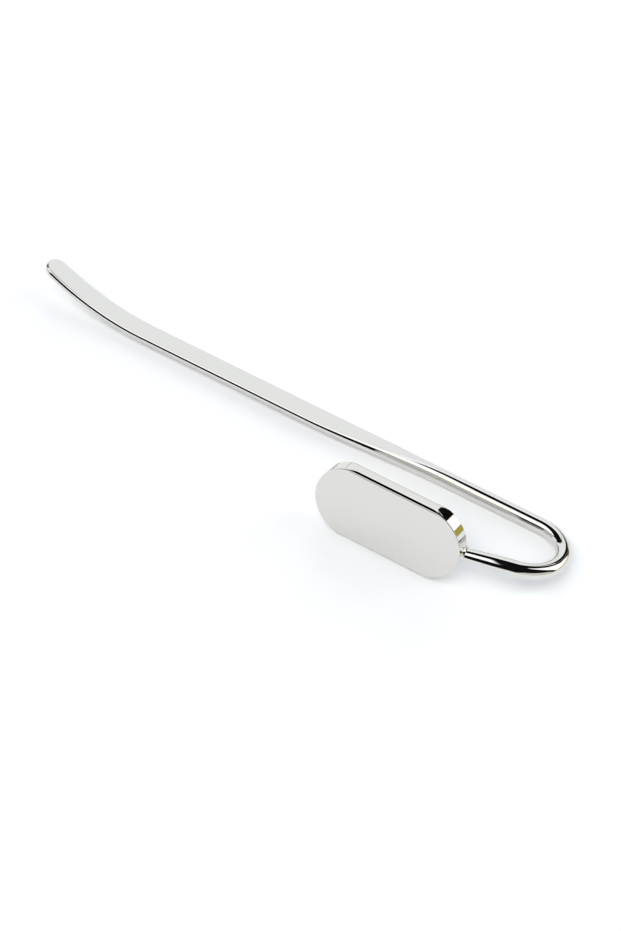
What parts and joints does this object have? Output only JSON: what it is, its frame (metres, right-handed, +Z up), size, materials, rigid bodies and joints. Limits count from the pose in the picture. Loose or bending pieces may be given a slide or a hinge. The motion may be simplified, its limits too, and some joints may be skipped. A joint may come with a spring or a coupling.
{
  "type": "spine-hook bookmark",
  "caption": "Polished metal bookmark: flat blade with a raised round tip, wire bent to a hook over a book's spine, and a round-ended plaque brazed to its end.",
  "frame": {"origin": "on the table under the middle of the whole bookmark, as it rests by itself", "axes": "+X along the blade from its raised tip toward the hook's bend, +Z up from the table, and the plaque on the -Y side"},
  "size_m": [0.1207, 0.0242, 0.0145],
  "materials": {
    "wire_plating": "mirror-polished nickel plating over a steel wire",
    "plaque_plating": "mirror-polished nickel plating over a steel plate",
    "braze_plating": "nickel-plated braze filler, polished over"
  },
  "bodies": {
    "root": {"hook_and_blade": "wire_plating", "plaque": "plaque_plating", "braze_joint": "braze_plating"}
  },
  "joints": []
}
